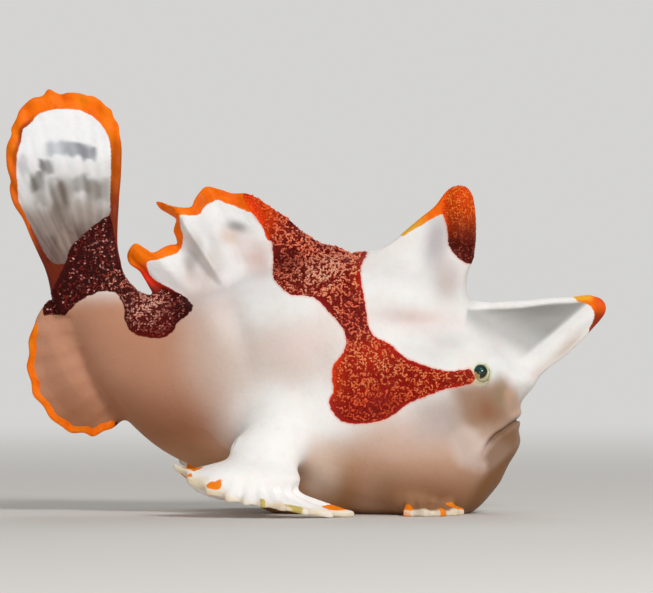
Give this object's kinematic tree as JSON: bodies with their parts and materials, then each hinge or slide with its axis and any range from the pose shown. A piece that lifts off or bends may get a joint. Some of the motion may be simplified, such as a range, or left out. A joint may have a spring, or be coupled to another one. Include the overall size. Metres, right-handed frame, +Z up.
{
  "type": "warty frogfish",
  "caption": "Still life-size model of a small warty frogfish squatting on its belly and hand-like fins, tail raised, white skin with red saddles and orange fin edges.",
  "frame": {"origin": "on the surface that the fish squats on, under the middle of its length, width and height box", "axes": "+X forward to the snout, +Y to the animal's left side, +Z up"},
  "size_m": [0.0598, 0.0316, 0.0424],
  "materials": {
    "skin": "soft moist skin, white with red granular saddles",
    "fin": "soft translucent fin skin, white with orange edges",
    "lure": "soft satin skin",
    "eye": "wet glossy eye"
  },
  "bodies": {
    "root": {"head": "skin", "lower_jaw": "skin", "trunk": "skin", "tail_stalk": "skin", "caudal_fin": "fin", "soft_dorsal_fin": "fin", "third_dorsal_spine": "skin", "second_dorsal_spine": "fin", "illicium": "lure", "anal_fin": "fin", "pectoral_fin_right": "fin", "pectoral_fin_left": "fin", "pelvic_fin_right": "fin", "pelvic_fin_left": "fin", "eye_right": "eye", "eye_left": "eye"}
  },
  "joints": []
}
